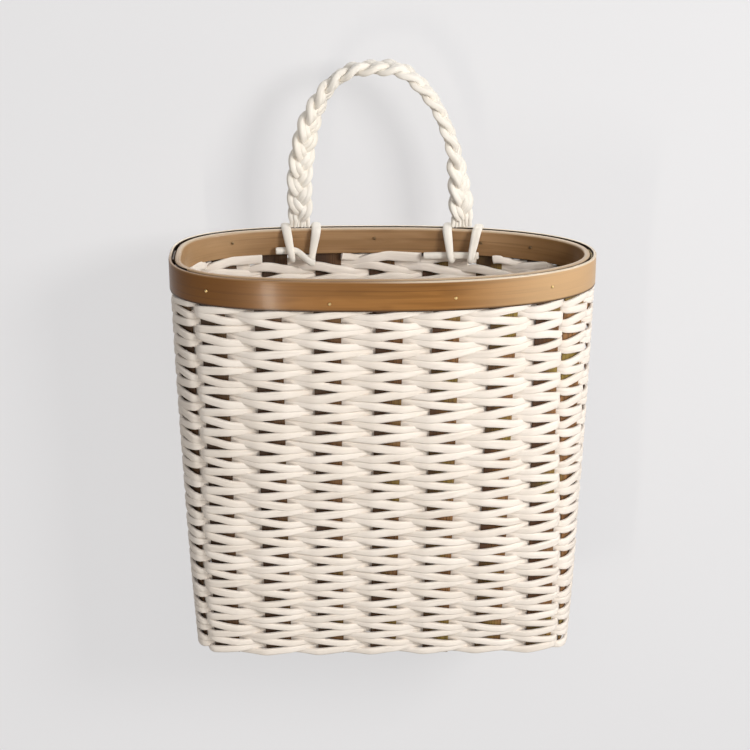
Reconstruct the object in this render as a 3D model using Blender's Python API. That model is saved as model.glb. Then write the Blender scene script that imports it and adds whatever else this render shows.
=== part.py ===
"""Wall basket: twined cord walls on bent slats, a double hoop rim and a braided cord handle.

Metres, +Z up, the front towards -Y. The origin is the middle of the underside of the base.

The wall is described in shell coordinates. A turn of 0 is the middle of the front, 1 the right end,
2 the middle of the back and 3 the left end, and between them it grows evenly along the outline.
A height is above the table, and a depth is measured outwards from the middle of the wall.
"""

import math

import bpy
import numpy as np

# Overall size
RIM_WIDTH = 0.305
RIM_DEPTH = 0.127
BODY_HEIGHT = 0.305
BASE_WIDTH = 0.282
BASE_DEPTH = 0.090
BELLY = 0.002

# How square the oval is: 2 is an ellipse, and larger is nearer to a rectangle
LEFT_RIM_SQUARENESS = 3.0
RIGHT_RIM_SQUARENESS = 2.15
BASE_SQUARENESS = 7.0
SQUARENESS_FADE = 3

# Twined wall: it swells over each slat and is waisted between them, where the cords cross
WALL_THICKNESS = 0.010
WAIST_DEPTH = 0.0024

# Bent slats, which cross in the base and stand up inside the wall
SLAT_WIDTH = 0.019
SLAT_THICKNESS = 0.0011
CROSS_SLATS = 7
LONG_SLATS = 3
CROSS_PITCH_BASE_SHARE = 0.1385
CROSS_PITCH_RIM_SHARE = 0.1311
LONG_PITCH_BASE_SHARE = 0.2445
LONG_PITCH_RIM_SHARE = 0.238
FRONT_LEAN_SHARES = (-0.02, -0.01, 0.02, 0.10, 0.09, 0.12, -0.05)
BACK_LEAN_SHARES = (0.05, 0.0, 0.0, 0.0, 0.0, 0.0, -0.05)
BEND_HEIGHT = 0.005
BEND_INSET = 0.0035
SLAT_TOP_DROP = 0.0015
LEAN_RUN = 0.028

# Rim hoops
HOOP_HEIGHT = 0.022
OUTER_HOOP_THICKNESS = 0.0022
INNER_HOOP_THICKNESS = 0.0047
OUTER_HOOP_CHAMFER = 0.0006
INNER_HOOP_CHAMFER = 0.0016
SLAT_CHANNEL = 0.0020
SCARF_TIP = 0.0007
SCARF_STEPS = 5
OUTER_SCARF_TURN = 0.80
INNER_SCARF_TURN = 3.0

# Tacks: the slat that each one goes through, how far off its middle as a share of the slat's width,
# and how high on the hoops as a share of their height
TACK_SHANK_RADIUS = 0.0005
TACK_HEAD_RADIUS = 0.0012
TACK_HEAD_HEIGHT = 0.0007
TACK_BROW_SHARE = 0.8
TACK_BROW_HEIGHT_SHARE = 0.6
TACK_LENGTH = 0.0078
FRONT_TACK_SLATS = (-3, -1, 1, 3)
FRONT_TACK_SHIFT_SHARES = (-0.10, 0.10, 0.30, 0.0)
FRONT_TACK_HEIGHT_SHARES = (0.50, 0.28, 0.43, 0.50)
BACK_TACK_SLATS = (-3, 0, 2, 3)
BACK_TACK_SHIFT_SHARES = (0.30, -0.30, -0.30, -0.30)
BACK_TACK_HEIGHT_SHARES = (0.65, 0.65, 0.58, 0.58)

# Handle: its outline as shares of half its span and of its rise, from the left foot to the right
HANDLE_RISE = 0.1195
HANDLE_LEAN = 0.004
HANDLE_GAP_NUMBER = 1.5
HANDLE_ROUTE_SHARES = (
    (-1.0, 0.0),
    (-0.985, 0.12),
    (-0.95, 0.333),
    (-0.91, 0.50),
    (-0.845, 0.64),
    (-0.72, 0.765),
    (-0.54, 0.885),
    (-0.30, 0.965),
    (0.0, 1.0),
    (0.25, 0.975),
    (0.45, 0.885),
    (0.64, 0.775),
    (0.80, 0.63),
    (0.92, 0.48),
    (0.985, 0.27),
    (1.0, 0.12),
    (1.0, 0.0),
)
LEFT_TWIST_SHARES = (0.06, 0.42)
RIGHT_TWIST_SHARES = (0.05, 0.28)
BRAID_HALF_WIDTH = 0.0061
BRAID_HALF_THICKNESS = 0.0027
BRAID_TURNS = 5.5
STRAND_HALF_WIDTH = 0.0028
STRAND_HALF_THICKNESS = 0.0017

# Foot of the braid: its strands run side by side there, drawn in between the two lashings
FOOT_RUN = 0.011
BRAID_START_SHARE = 0.75
FOOT_SQUEEZE_SHARE = 0.87
FOOT_STRAND_SHARE = 0.78
CAP_SHARES = (0.5, 0.86)

# Lashings that tie the handle to the back of the rim, drawn together towards their lower ends
LASHING_RADIUS = 0.0025
LASHING_TOP_SPREAD = 0.0112
LASHING_FOOT_SPREAD = 0.0067
LASHING_DROP = 0.0055

# Cords that lock the lashings inside the basket: how far each reaches to either side of its foot
LOCK_RADIUS = 0.0024
LOCK_RISE = 0.0035
LEFT_LOCK_REACHES = (-0.0184, 0.0110)
RIGHT_LOCK_REACHES = (-0.0257, 0.0140)
LEFT_LOCK_SLOPE_SHARE = -0.30
RIGHT_LOCK_SLOPE_SHARE = 0.04

# Gap between pieces that touch, and how far a cutter runs past what it cuts
CLEARANCE = 0.0003
OVERRUN = 0.002

# Mesh fineness, as counts and shares
STOPS_PER_QUARTER = 16
STOP_CROWDING = 1.35
MIDDLE_FACET_SHARE = 0.04
OUTLINE_SAMPLES = 240
NORMAL_STEP_SHARE = 0.01
WALL_HEIGHT_SHARES = (0.0, 0.05, 0.14, 0.30, 0.52, 0.76, 1.0)
WAIST_SHARES = ((0.0, 0.0), (0.25, 0.05), (0.40, 0.75), (0.60, 0.75), (0.75, 0.05))
SLAT_HEIGHT_SHARES = (0.0, 0.07, 0.17, 0.34, 0.56, 0.78)
BEND_STATIONS = 4
HANDLE_STATIONS = 66
CORD_SIDES = 6
LASHING_STATIONS = 24
LOCK_STATIONS = 6
ROUTE_SAMPLES = 24
TACK_SIDES = 8

# Worked out from the sizes above
CROSS_PITCH_BASE = BASE_WIDTH * CROSS_PITCH_BASE_SHARE
CROSS_PITCH_RIM = RIM_WIDTH * CROSS_PITCH_RIM_SHARE
LONG_PITCH_BASE = BASE_DEPTH * LONG_PITCH_BASE_SHARE
LONG_PITCH_RIM = RIM_DEPTH * LONG_PITCH_RIM_SHARE
CRIMP_PEAK_SHARE = 1.5
CRIMP_OVERLAP_SHARE = 1.55
CRIMP_SPARE_SHARE = 1.2
CRIMP = (SLAT_THICKNESS + CLEARANCE) * CRIMP_SPARE_SHARE / CRIMP_OVERLAP_SHARE
BASE_LEVEL = CRIMP + SLAT_THICKNESS / 2
BASE_STACK = 2 * BASE_LEVEL
WALL_BOTTOM = BASE_STACK + CLEARANCE
HOOP_BOTTOM = BODY_HEIGHT - HOOP_HEIGHT
WALL_TOP = HOOP_BOTTOM - CLEARANCE
BEND_TOP = BASE_STACK + BEND_HEIGHT
SLAT_TOP = BODY_HEIGHT - SLAT_TOP_DROP
FACE = WALL_THICKNESS / 2
OUTER_HOOP_INSIDE = FACE - OUTER_HOOP_THICKNESS
INNER_HOOP_OUTSIDE = OUTER_HOOP_INSIDE - SLAT_CHANNEL
INNER_HOOP_INSIDE = INNER_HOOP_OUTSIDE - INNER_HOOP_THICKNESS
RIM_SLAT_DEPTH = OUTER_HOOP_INSIDE - SLAT_CHANNEL / 2
HINGE_HEIGHT = BODY_HEIGHT + CLEARANCE + STRAND_HALF_THICKNESS
HINGE_DEPTH = (INNER_HOOP_INSIDE + INNER_HOOP_OUTSIDE) / 2
LASHING_HOLE = HOOP_BOTTOM - LASHING_DROP
LASHING_TOP = BODY_HEIGHT + CLEARANCE + LASHING_RADIUS
LOCK_HEIGHT = HOOP_BOTTOM + LOCK_RISE
LOCK_DEPTH = -FACE - CLEARANCE - LOCK_RADIUS

BAMBOO = ("bamboo", (0.50, 0.31, 0.13), 0.45, 0.0)
HOOP_BAMBOO = ("hoop bamboo", (0.46, 0.25, 0.09), 0.30, 0.0)
WALL_CORD = ("wall cord", (0.80, 0.76, 0.67), 0.85, 0.0)
HANDLE_CORD = ("handle cord", (0.83, 0.79, 0.70), 0.80, 0.0)
TACK_STEEL = ("tack steel", (0.30, 0.28, 0.25), 0.40, 1.0)


def mix(first, second, share):
    return first + (second - first) * share


def ease(share):
    """Rises smoothly from 0 to 1 as the share does."""
    share = min(max(share, 0.0), 1.0)
    return share * share * (3 - 2 * share)


def clear_scene():
    for thing in list(bpy.data.objects):
        bpy.data.objects.remove(thing, do_unlink=True)


def make_material(finish):
    name, colour, roughness, metallic = finish
    material = bpy.data.materials.get(name)
    if material is None:
        material = bpy.data.materials.new(name)
        material.use_nodes = True
        shader = material.node_tree.nodes["Principled BSDF"]
        shader.inputs["Base Color"].default_value = (*colour, 1.0)
        shader.inputs["Roughness"].default_value = roughness
        shader.inputs["Metallic"].default_value = metallic
        material.diffuse_color = (*colour, 1.0)
    return material


def make_object(name, points, faces, finish, pivot=None):
    """A mesh object whose origin is at the pivot, if it turns about one."""
    origin = np.zeros(3) if pivot is None else np.array(pivot)
    mesh = bpy.data.meshes.new(name)
    mesh.from_pydata([tuple(point - origin) for point in points], [], faces)
    mesh.materials.append(make_material(finish))
    mesh.shade_smooth()
    mesh.set_sharp_from_angle(angle=math.radians(35))
    made = bpy.data.objects.new(name, mesh)
    made.location = origin
    bpy.context.scene.collection.objects.link(made)
    return made


def make_cutter(name, points, faces):
    cutter = make_object(name, points, faces, BAMBOO)
    cutter.hide_render = True
    cutter.display_type = "WIRE"
    return cutter


def cut(target, cutter):
    """Takes the cutter's shape out of the target."""
    modifier = target.modifiers.new(cutter.name, "BOOLEAN")
    modifier.operation = "DIFFERENCE"
    modifier.solver = "EXACT"
    modifier.object = cutter


def height_share(height):
    """0 at the table and 1 at the foot of the hoops. The hoops stand upright above it."""
    return min(max(height / HOOP_BOTTOM, 0.0), 1.0)


def outline_of(quarter, height):
    """Half width, half depth and squareness of the middle of the wall."""
    share = height_share(height)
    swell = BELLY * 4 * share * (1 - share)
    half_width = mix(BASE_WIDTH, RIM_WIDTH, share) / 2 - FACE + swell
    half_depth = mix(BASE_DEPTH, RIM_DEPTH, share) / 2 - FACE + swell
    rim = RIGHT_RIM_SQUARENESS if quarter in (0, 1) else LEFT_RIM_SQUARENESS
    return half_width, half_depth, mix(rim, BASE_SQUARENESS, (1 - share) ** SQUARENESS_FADE)


outline_cache = {}


def quarter_curve(quarter, height):
    """Points along a quarter of the outline, and how far along it each one lies."""
    key = (quarter, round(height_share(height), 7))
    if key not in outline_cache:
        half_width, half_depth, squareness = outline_of(quarter, height)
        angles = np.linspace(0, math.pi / 2, OUTLINE_SAMPLES + 1)
        rising = np.sin(angles) ** (2 / squareness)
        falling = np.abs(np.cos(angles)) ** (2 / squareness)
        falling[-1] = 0
        across = {0: rising, 1: falling, 2: -rising, 3: -falling}[quarter] * half_width
        along = {0: -falling, 1: rising, 2: falling, 3: -rising}[quarter] * half_depth
        points = np.column_stack([across, along])
        steps = np.hypot(*np.diff(points, axis=0).T)
        outline_cache[key] = points, np.concatenate([[0], np.cumsum(steps)])
    return outline_cache[key]


def quarter_length(quarter, height):
    return quarter_curve(quarter % 4, height)[1][-1]


def outline_point(turn, height):
    quarter = math.floor(turn)
    points, run = quarter_curve(quarter % 4, height)
    place = (turn - quarter) * run[-1]
    return np.array([np.interp(place, run, points[:, 0]), np.interp(place, run, points[:, 1])])


def outward(turn, height):
    """The direction straight out of the wall, level with the table."""
    ahead = outline_point(turn + NORMAL_STEP_SHARE, height)
    behind = outline_point(turn - NORMAL_STEP_SHARE, height)
    along = (ahead - behind) / np.linalg.norm(ahead - behind)
    return np.array([along[1], -along[0]])


def shell_point(turn, height, depth):
    flat = outline_point(turn, height) + outward(turn, height) * depth
    return np.array([flat[0], flat[1], height])


def turn_at(landmark, arc, height):
    """The turn that lies an arc beyond one of the four landmarks, or before it if negative."""
    quarter = landmark if arc >= 0 else landmark - 1
    return landmark + arc / quarter_length(quarter, height)


def turn_stops():
    """Turns round the outline, closer together at the two ends, where it bends most.

    A narrow facet straddles the middle of the front and of the back."""
    shares = [1 - (1 - i / STOPS_PER_QUARTER) ** STOP_CROWDING for i in range(1, STOPS_PER_QUARTER)]
    rising = [MIDDLE_FACET_SHARE, *shares]
    falling = [0.0, *(1 - share for share in reversed(shares)), 1 - MIDDLE_FACET_SHARE]
    return [quarter + share for quarter in range(4) for share in (falling if quarter % 2 else rising)]


def loft_faces(rows, columns, closed_rows):
    """Triangles between rings of points, all split the same way, so that a slot follows its slat."""
    faces = []
    for row in range(rows if closed_rows else rows - 1):
        for column in range(columns):
            below = row * columns
            above = (row + 1) % rows * columns
            right = (column + 1) % columns
            faces.append((below + column, below + right, above + right))
            faces.append((below + column, above + right, above + column))
    return faces


def sweep(sections):
    """One closed solid through like sections, each a ring of points, with flat ends."""
    rows = len(sections)
    columns = len(sections[0])
    faces = loft_faces(rows, columns, False)
    faces.append(tuple(reversed(range(columns))))
    faces.append(tuple((rows - 1) * columns + i for i in range(columns)))
    return [point for section in sections for point in section], faces


def volume_sign(points, faces):
    total = 0.0
    for face in faces:
        for i in range(1, len(face) - 1):
            total += np.dot(points[face[0]], np.cross(points[face[i]], points[face[i + 1]]))
    return total


def facing_out(points, faces):
    """The same solid, with its faces turned outwards if they weren't."""
    if volume_sign(points, faces) < 0:
        faces = [tuple(reversed(face)) for face in faces]
    return points, faces


def slat_turns(height):
    """Turns of the middles of all the upright slats, once round from the middle of the front."""
    turns = []
    for landmark in range(4):
        half = (LONG_SLATS if landmark in (1, 3) else CROSS_SLATS) // 2
        side = 1 if landmark in (0, 1) else -1
        for number in range(-half, half + 1):
            turns.append(turn_at(landmark, side * slat_arc(number, landmark, height), height) % 4)
    return sorted(turns)


def wall_ring(height, side):
    """Once round one face of the wall: full over each slat, and waisted halfway to the next."""
    turns = slat_turns(height)
    ring = []
    for turn, following in zip(turns, [*turns[1:], turns[0] + 4]):
        for share, waist in WAIST_SHARES:
            ring.append(shell_point(mix(turn, following, share), height, side * (FACE - waist * WAIST_DEPTH)))
    return ring


def woven_wall():
    """The wall as one shell, open above and below, with its true inner and outer faces."""
    heights = [mix(WALL_BOTTOM, WALL_TOP, share) for share in WALL_HEIGHT_SHARES]
    rows = [wall_ring(height, 1) for height in heights]
    rows += [wall_ring(height, -1) for height in reversed(heights)]
    faces = loft_faces(len(rows), len(rows[0]), True)
    points = [point for row in rows for point in row]
    return make_object("woven_wall", *facing_out(points, faces), WALL_CORD)


def crimp_wave(place, pitch, last):
    """From 1 to -1 and back at each next crossing, level on top, and level past the last one."""
    place = min(abs(place), last)
    return min(max(CRIMP_PEAK_SHARE * math.cos(math.pi * place / pitch), -1.0), 1.0)


def slat_arc(number, landmark, height):
    """How far a slat stands from its landmark. The cross slats lean a little sideways as they rise."""
    share = height_share(height)
    if landmark in (1, 3):
        return number * mix(LONG_PITCH_BASE, LONG_PITCH_RIM, share)
    leans = FRONT_LEAN_SHARES if landmark == 0 else BACK_LEAN_SHARES
    lean = leans[number + CROSS_SLATS // 2] * share
    return (number + lean) * mix(CROSS_PITCH_BASE, CROSS_PITCH_RIM, share)


def slat_depth(height):
    """The slats stand in the middle of the wall, and lean out to pass between the hoops."""
    return RIM_SLAT_DEPTH * ease((height - HOOP_BOTTOM + LEAN_RUN) / LEAN_RUN)


class Slat:
    """One slat of the base with both of its ends turned up. It knows where its middle line runs."""

    def __init__(self, number, crosswise):
        self.number = number
        self.crosswise = crosswise
        self.landmarks = (0, 2) if crosswise else (3, 1)
        self.own_pitch = CROSS_PITCH_BASE if crosswise else LONG_PITCH_BASE
        self.other_pitch = LONG_PITCH_BASE if crosswise else CROSS_PITCH_BASE
        self.last = self.other_pitch * ((LONG_SLATS if crosswise else CROSS_SLATS) // 2)
        self.lift = -CRIMP if (number % 2 == 0) == crosswise else CRIMP
        self.place = number * self.own_pitch

    def upright(self, landmark, offset, height):
        """A point of the middle of the slat in the wall, the offset to one side of its line."""
        side = 1 if landmark in (0, 1) else -1
        turn = turn_at(landmark, side * (slat_arc(self.number, landmark, height) + offset), height)
        return shell_point(turn, height, slat_depth(height))

    def level(self, run):
        return BASE_LEVEL + self.lift * crimp_wave(run, self.other_pitch, self.last)

    def base(self, run, offset):
        """A point of the middle of the slat in the base, a run along it from its middle."""
        if self.crosswise:
            return np.array([self.place + offset, run, self.level(run)])
        return np.array([run, self.place + offset, self.level(run)])

    def bend(self, landmark, offset, share):
        """From the foot of the upright, 0, round to the flat of the base, 1."""
        foot = self.upright(landmark, offset, BEND_TOP)
        axis = 1 if self.crosswise else 0
        end = -1 if landmark in (0, 3) else 1
        inside = self.base(foot[axis] - end * BEND_INSET, offset)
        corner = np.array([foot[0], foot[1], inside[2]])
        return mix(mix(foot, corner, share), mix(corner, inside, share), share)

    def runs(self):
        """Stops along the base: both edges of each crossing's level stretch, and halfway between."""
        level_share = math.acos(1 / CRIMP_PEAK_SHARE) / math.pi
        count = (LONG_SLATS if self.crosswise else CROSS_SLATS) // 2
        stops = []
        for crossing in range(-count, count + 1):
            stops += [crossing - level_share, crossing + level_share, crossing + 0.5]
        return [stop * self.other_pitch for stop in stops[:-1]]

    def grid(self, offsets):
        """Rows of points across the slat, from the top of one upright to the top of the other."""
        heights = [mix(BEND_TOP, HOOP_BOTTOM - LEAN_RUN, share) for share in SLAT_HEIGHT_SHARES]
        heights += [HOOP_BOTTOM - LEAN_RUN, HOOP_BOTTOM - LEAN_RUN / 2, HOOP_BOTTOM, SLAT_TOP]
        bends = [(i + 1) / BEND_STATIONS for i in range(BEND_STATIONS)]
        first, second = self.landmarks
        rows = [[self.upright(first, w, height) for w in offsets] for height in reversed(heights)]
        rows += [[self.bend(first, w, share) for w in offsets] for share in bends]
        rows += [[self.base(run, w) for w in offsets] for run in self.runs()[1:-1]]
        rows += [[self.bend(second, w, share) for w in offsets] for share in reversed(bends)]
        rows += [[self.upright(second, w, height) for w in offsets] for height in heights]
        return np.array(rows)

    def solid(self, thickness, width):
        """The slat at this thickness and width, as one closed strip."""
        divisions = 2 if self.crosswise else 3
        offsets = [width * (i / divisions - 0.5) for i in range(divisions + 1)]
        grid = self.grid(offsets)
        along = np.gradient(grid, axis=0)
        across = np.gradient(grid, axis=1)
        normal = np.cross(along, across)
        normal /= np.linalg.norm(normal, axis=2, keepdims=True)
        upper = grid + normal * thickness / 2
        lower = grid - normal * thickness / 2
        sections = [list(a) + list(reversed(b)) for a, b in zip(upper, lower)]
        return facing_out(*sweep(sections))


def make_slats():
    """The slats, and for each a cutter that opens its slot in the wall."""
    slats = []
    cutters = []
    for count, crosswise in ((CROSS_SLATS, True), (LONG_SLATS, False)):
        for i in range(count):
            slat = Slat(i - count // 2, crosswise)
            name = f"{'cross' if crosswise else 'long'}_slat_{i + 1}"
            slats.append(make_object(name, *slat.solid(SLAT_THICKNESS, SLAT_WIDTH), BAMBOO))
            wide = slat.solid(SLAT_THICKNESS + 2 * CLEARANCE, SLAT_WIDTH + 2 * CLEARANCE)
            cutters.append(make_cutter(f"{name}_slot", *wide))
    return slats, cutters


def hoop_section(turn, inside, outside, chamfer):
    """Six corners of a hoop, its upper edges chamfered."""
    chamfer = min(chamfer, (outside - inside) / 3)
    corners = (
        (inside, HOOP_BOTTOM),
        (outside, HOOP_BOTTOM),
        (outside, BODY_HEIGHT - chamfer),
        (outside - chamfer, BODY_HEIGHT),
        (inside + chamfer, BODY_HEIGHT),
        (inside, BODY_HEIGHT - chamfer),
    )
    return [shell_point(turn, height, depth) for depth, height in corners]


def scarf_limits(step, last, inside, outside):
    """Where the strip's two faces lie. Its first end tucks under its last one in a sloping lap."""
    slope = outside - inside - 2 * SCARF_TIP - CLEARANCE
    if step <= SCARF_STEPS:
        return inside, inside + SCARF_TIP + slope * step / SCARF_STEPS
    if step >= last - SCARF_STEPS:
        share = (step - last + SCARF_STEPS) / SCARF_STEPS
        return inside + SCARF_TIP + CLEARANCE + slope * share, outside
    return inside, outside


def hoop(name, inside, outside, chamfer, scarf_turn):
    """A strip bent round the rim, a little longer than once round."""
    stops = turn_stops()
    count = len(stops)
    start = min(range(count), key=lambda i: abs(stops[i] - scarf_turn))
    last = count + SCARF_STEPS
    sections = []
    for step in range(last + 1):
        place = start + step
        turn = stops[place % count] + 4 * (place // count)
        sections.append(hoop_section(turn, *scarf_limits(step, last, inside, outside), chamfer))
    step_back = scarf_nib(sections, stops, start, inside, outside, chamfer)
    sections.insert(SCARF_STEPS + 1, step_back)
    return make_object(name, *facing_out(*sweep(sections)), HOOP_BAMBOO)


def scarf_nib(sections, stops, start, inside, outside, chamfer):
    """The strip at its full thickness again, just past the blunt end that laps over it."""
    lap_end = stops[(start + SCARF_STEPS) % len(stops)]
    past = 3 * CLEARANCE / quarter_length(math.floor(lap_end), BODY_HEIGHT)
    return hoop_section(lap_end + past, inside, outside, chamfer)


def lathe(profile, sides):
    """A solid turned about Z from (radius, height) pairs that start and end on the axis."""
    points = [np.array([0.0, 0.0, profile[0][1]])]
    for radius, height in profile[1:-1]:
        for i in range(sides):
            angle = 2 * math.pi * i / sides
            points.append(np.array([radius * math.cos(angle), radius * math.sin(angle), height]))
    points.append(np.array([0.0, 0.0, profile[-1][1]]))
    rings = len(profile) - 2
    faces = [(0, 1 + (i + 1) % sides, 1 + i) for i in range(sides)]
    for ring in range(rings - 1):
        for i in range(sides):
            low = 1 + ring * sides
            faces.append((low + i, low + (i + 1) % sides, low + sides + (i + 1) % sides, low + sides + i))
    top = 1 + (rings - 1) * sides
    faces += [(top + i, top + (i + 1) % sides, len(points) - 1) for i in range(sides)]
    return points, faces


def tack_profile():
    return (
        (0.0, -TACK_LENGTH),
        (TACK_SHANK_RADIUS, -TACK_LENGTH),
        (TACK_SHANK_RADIUS, CLEARANCE),
        (TACK_HEAD_RADIUS, CLEARANCE),
        (TACK_HEAD_RADIUS * TACK_BROW_SHARE, CLEARANCE + TACK_HEAD_HEIGHT * TACK_BROW_HEIGHT_SHARE),
        (0.0, CLEARANCE + TACK_HEAD_HEIGHT),
    )


def tack_hole_profile():
    radius = TACK_SHANK_RADIUS + CLEARANCE
    deep = -TACK_LENGTH - CLEARANCE
    return (0.0, deep), (radius, deep), (radius, OVERRUN), (0.0, OVERRUN)


def set_in_wall(points, turn, height, depth, driven_outwards):
    """Turned points moved so that their axis lies square to the hoop."""
    away = outward(turn, height) * (-1 if driven_outwards else 1)
    axis = np.array([away[0], away[1], 0.0])
    side = np.array([-away[1], away[0], 0.0])
    seat = shell_point(turn, height, depth)
    up = np.array([0.0, 0.0, 1.0])
    return [seat + side * point[0] + up * point[1] + axis * point[2] for point in points]


def tack_places():
    """Side, landmark, arc and height of each tack. Those in front go in from outside."""
    places = []
    for number, shift, up in zip(FRONT_TACK_SLATS, FRONT_TACK_SHIFT_SHARES, FRONT_TACK_HEIGHT_SHARES):
        arc = slat_arc(number, 0, BODY_HEIGHT) + shift * SLAT_WIDTH
        places.append(("front", 0, arc, mix(HOOP_BOTTOM, BODY_HEIGHT, up)))
    for number, shift, up in zip(BACK_TACK_SLATS, BACK_TACK_SHIFT_SHARES, BACK_TACK_HEIGHT_SHARES):
        arc = slat_arc(number, 2, BODY_HEIGHT) + shift * SLAT_WIDTH
        places.append(("back", 2, -arc, mix(HOOP_BOTTOM, BODY_HEIGHT, up)))
    return places


def make_tacks(pierced):
    """Each tack with its head on a hoop, and its hole through both hoops and the slat between."""
    for number, (side, landmark, arc, height) in enumerate(tack_places(), start=1):
        turn = turn_at(landmark, arc, BODY_HEIGHT)
        outwards = side == "back"
        depth = INNER_HOOP_INSIDE if outwards else FACE
        points, faces = lathe(tack_profile(), TACK_SIDES)
        placed = facing_out(set_in_wall(points, turn, height, depth, outwards), faces)
        make_object(f"{side}_tack_{(number - 1) % len(FRONT_TACK_SLATS) + 1}", *placed, TACK_STEEL)
        points, faces = lathe(tack_hole_profile(), TACK_SIDES)
        placed = facing_out(set_in_wall(points, turn, height, depth, outwards), faces)
        hole = make_cutter(f"{side}_tack_hole_{number}", *placed)
        for piece in pierced[side, arc < 0 if side == "front" else arc > 0]:
            cut(piece, hole)


def smooth_route(points, count, closed=False):
    """Evenly spaced points along a smooth curve through the route's own points."""
    points = np.array(points, float)
    size = len(points)
    ends = points if closed else np.vstack([2 * points[0] - points[1], points, 2 * points[-1] - points[-2]])
    fine = []
    for i in range(size if closed else size - 1):
        if closed:
            four = [ends[(i + k - 1) % size] for k in range(4)]
        else:
            four = [ends[i + k] for k in range(4)]
        for share in np.linspace(0, 1, ROUTE_SAMPLES, endpoint=False):
            fine.append(catmull_rom(four, share))
    fine.append(points[0] if closed else points[-1])
    fine = np.array(fine)
    run = np.concatenate([[0], np.cumsum(np.linalg.norm(np.diff(fine, axis=0), axis=1))])
    places = np.linspace(0, run[-1], count, endpoint=not closed)
    return np.column_stack([np.interp(places, run, fine[:, axis]) for axis in range(3)])


def catmull_rom(four, share):
    a, b, c, d = four
    bend = (2 * a - 5 * b + 4 * c - d) * share**2 + (3 * b - a - 3 * c + d) * share**3
    return b + 0.5 * ((c - a) * share + bend)


def tube(path, radius, closed=False):
    """A round cord along a path that lies nearly in one plane, or nearly straight."""
    tangents = np.gradient(path, axis=0)
    if closed:
        tangents = np.roll(path, -1, axis=0) - np.roll(path, 1, axis=0)
    tangents /= np.linalg.norm(tangents, axis=1, keepdims=True)
    sideways = np.cross(tangents[0], tangents[len(path) // 3]) if closed else np.array([0.0, 0.0, 1.0])
    sections = []
    for centre, tangent in zip(path, tangents):
        first = sideways - tangent * np.dot(sideways, tangent)
        first /= np.linalg.norm(first)
        second = np.cross(tangent, first)
        angles = [2 * math.pi * i / CORD_SIDES for i in range(CORD_SIDES)]
        sections.append([centre + radius * (first * math.cos(a) + second * math.sin(a)) for a in angles])
    if closed:
        points = [point for section in sections for point in section]
        return facing_out(points, loft_faces(len(sections), CORD_SIDES, True))
    return facing_out(*sweep(sections))


def foot_arc():
    """How far each foot of the handle is from the middle of the back: midway between two slats."""
    return HANDLE_GAP_NUMBER * CROSS_PITCH_RIM


def back_point(arc, depth, height):
    """A point at the back of the wall, at an arc to the right of its middle as seen from the front."""
    return shell_point(turn_at(2, -arc, height), height, depth)


def lashing_arc(middle, side, height):
    """How far along the rim a lashing stands: it leans towards its foot's middle as it goes down."""
    share = (height - LASHING_HOLE) / (LASHING_TOP - LASHING_HOLE)
    return middle + side * mix(LASHING_FOOT_SPREAD, LASHING_TOP_SPREAD, share)


def lashing_route(middle, side, lock):
    """Once round: over the rim, down inside past the locking cord, and out through the wall."""
    skin = LASHING_RADIUS + CLEARANCE
    inside = INNER_HOOP_INSIDE - skin
    outside = FACE + skin
    bowed = LOCK_DEPTH - LOCK_RADIUS - skin
    route = (
        (mix(inside, outside, 0.5), LASHING_TOP),
        (mix(inside, outside, 0.15), LASHING_TOP),
        (inside - LASHING_RADIUS / 3, LASHING_TOP - LASHING_RADIUS),
        (mix(inside, bowed, 0.5), mix(LASHING_TOP, lock, 0.5)),
        (bowed, lock + LOCK_RADIUS / 2),
        (mix(bowed, LOCK_DEPTH, 0.25), mix(lock, LASHING_HOLE, 0.85)),
        (-FACE, LASHING_HOLE),
        (FACE, LASHING_HOLE),
        (outside + LASHING_RADIUS / 3, LASHING_HOLE + LASHING_RADIUS),
        (outside, LASHING_HOLE + 3 * LASHING_RADIUS),
        (outside, LASHING_TOP - 3 * LASHING_RADIUS),
        (outside, LASHING_TOP - LASHING_RADIUS),
        (mix(inside, outside, 0.85), LASHING_TOP),
    )
    return [back_point(lashing_arc(middle, side, height), depth, height) for depth, height in route]


def lashing_hole(middle, side):
    """The block cut out of the wall, where a lashing passes between two slats."""
    reach = LASHING_RADIUS + 2 * CLEARANCE
    arc = lashing_arc(middle, side, LASHING_HOLE)
    sections = []
    for where in (arc - reach, arc + reach):
        corners = ((-1, -reach), (1, -reach), (1, reach), (-1, reach))
        sections.append([
            back_point(where, end * (FACE + OVERRUN), LASHING_HOLE + up) for end, up in corners
        ])
    return facing_out(*sweep(sections))


def lock_route(middle, slope, reaches):
    """The locking cord lies along the inside of the wall, behind both lashings of a foot."""
    route = []
    for share in (0.0, 0.25, 0.5, 0.75, 1.0):
        run = mix(*reaches, share)
        level = back_point(middle + run, LOCK_DEPTH, BODY_HEIGHT)
        route.append((level[0], level[1], LOCK_HEIGHT + slope * run))
    return route


def make_lashings(wall):
    feet = (
        ("left", -foot_arc(), LEFT_LOCK_SLOPE_SHARE, LEFT_LOCK_REACHES),
        ("right", foot_arc(), RIGHT_LOCK_SLOPE_SHARE, RIGHT_LOCK_REACHES),
    )
    for foot, middle, slope, reaches in feet:
        for side in (-1, 1):
            label = "outer" if side * middle > 0 else "inner"
            lock = LOCK_HEIGHT + slope * side * LASHING_FOOT_SPREAD
            path = smooth_route(lashing_route(middle, side, lock), LASHING_STATIONS, closed=True)
            make_object(f"{foot}_lashing_{label}", *tube(path, LASHING_RADIUS, closed=True), HANDLE_CORD)
            cut(wall, make_cutter(f"{foot}_{label}_hole", *lashing_hole(middle, side)))
        path = smooth_route(lock_route(middle, slope, reaches), LOCK_STATIONS)
        make_object(f"{foot}_locking_cord", *tube(path, LOCK_RADIUS), HANDLE_CORD)


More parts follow.
